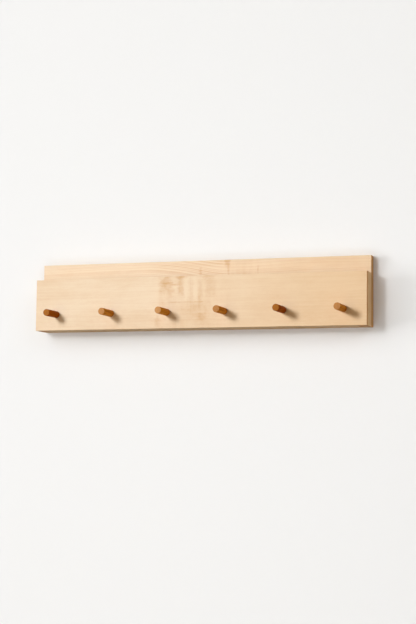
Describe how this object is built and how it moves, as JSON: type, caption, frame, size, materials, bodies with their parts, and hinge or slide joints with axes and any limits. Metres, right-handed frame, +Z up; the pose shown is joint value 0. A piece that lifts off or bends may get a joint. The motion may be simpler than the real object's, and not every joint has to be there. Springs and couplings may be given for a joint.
{
  "type": "peg rail with shelf",
  "caption": "Wall-hung wooden peg rail with a narrow tray shelf: a thin front board with round brown pegs, a taller back board, closed ends and keyhole hangers let into the back.",
  "frame": {"origin": "centre of the back board's wall face", "axes": "+X along the rail to the right as seen from the room, +Y into the wall, +Z up"},
  "size_m": [0.6, 0.091, 0.12],
  "materials": {
    "maple_boards": "pale maple, satin oil",
    "brown_pegs": "stained hardwood, satin oil",
    "beech_dowels": "bare, fluted",
    "zinc_steel": "zinc plated"
  },
  "bodies": {
    "root": {"back_board": "maple_boards", "front_board": "maple_boards", "shelf_rail": "maple_boards", "end_block_left": "maple_boards", "end_block_right": "maple_boards", "end_dowels": "beech_dowels", "rail_screws": "zinc_steel", "hanger_screws": "zinc_steel", "keyhole_hanger_left": "zinc_steel", "keyhole_hanger_right": "zinc_steel", "peg_1": "brown_pegs", "peg_2": "brown_pegs", "peg_3": "brown_pegs", "peg_4": "brown_pegs", "peg_5": "brown_pegs", "peg_6": "brown_pegs"}
  },
  "joints": []
}
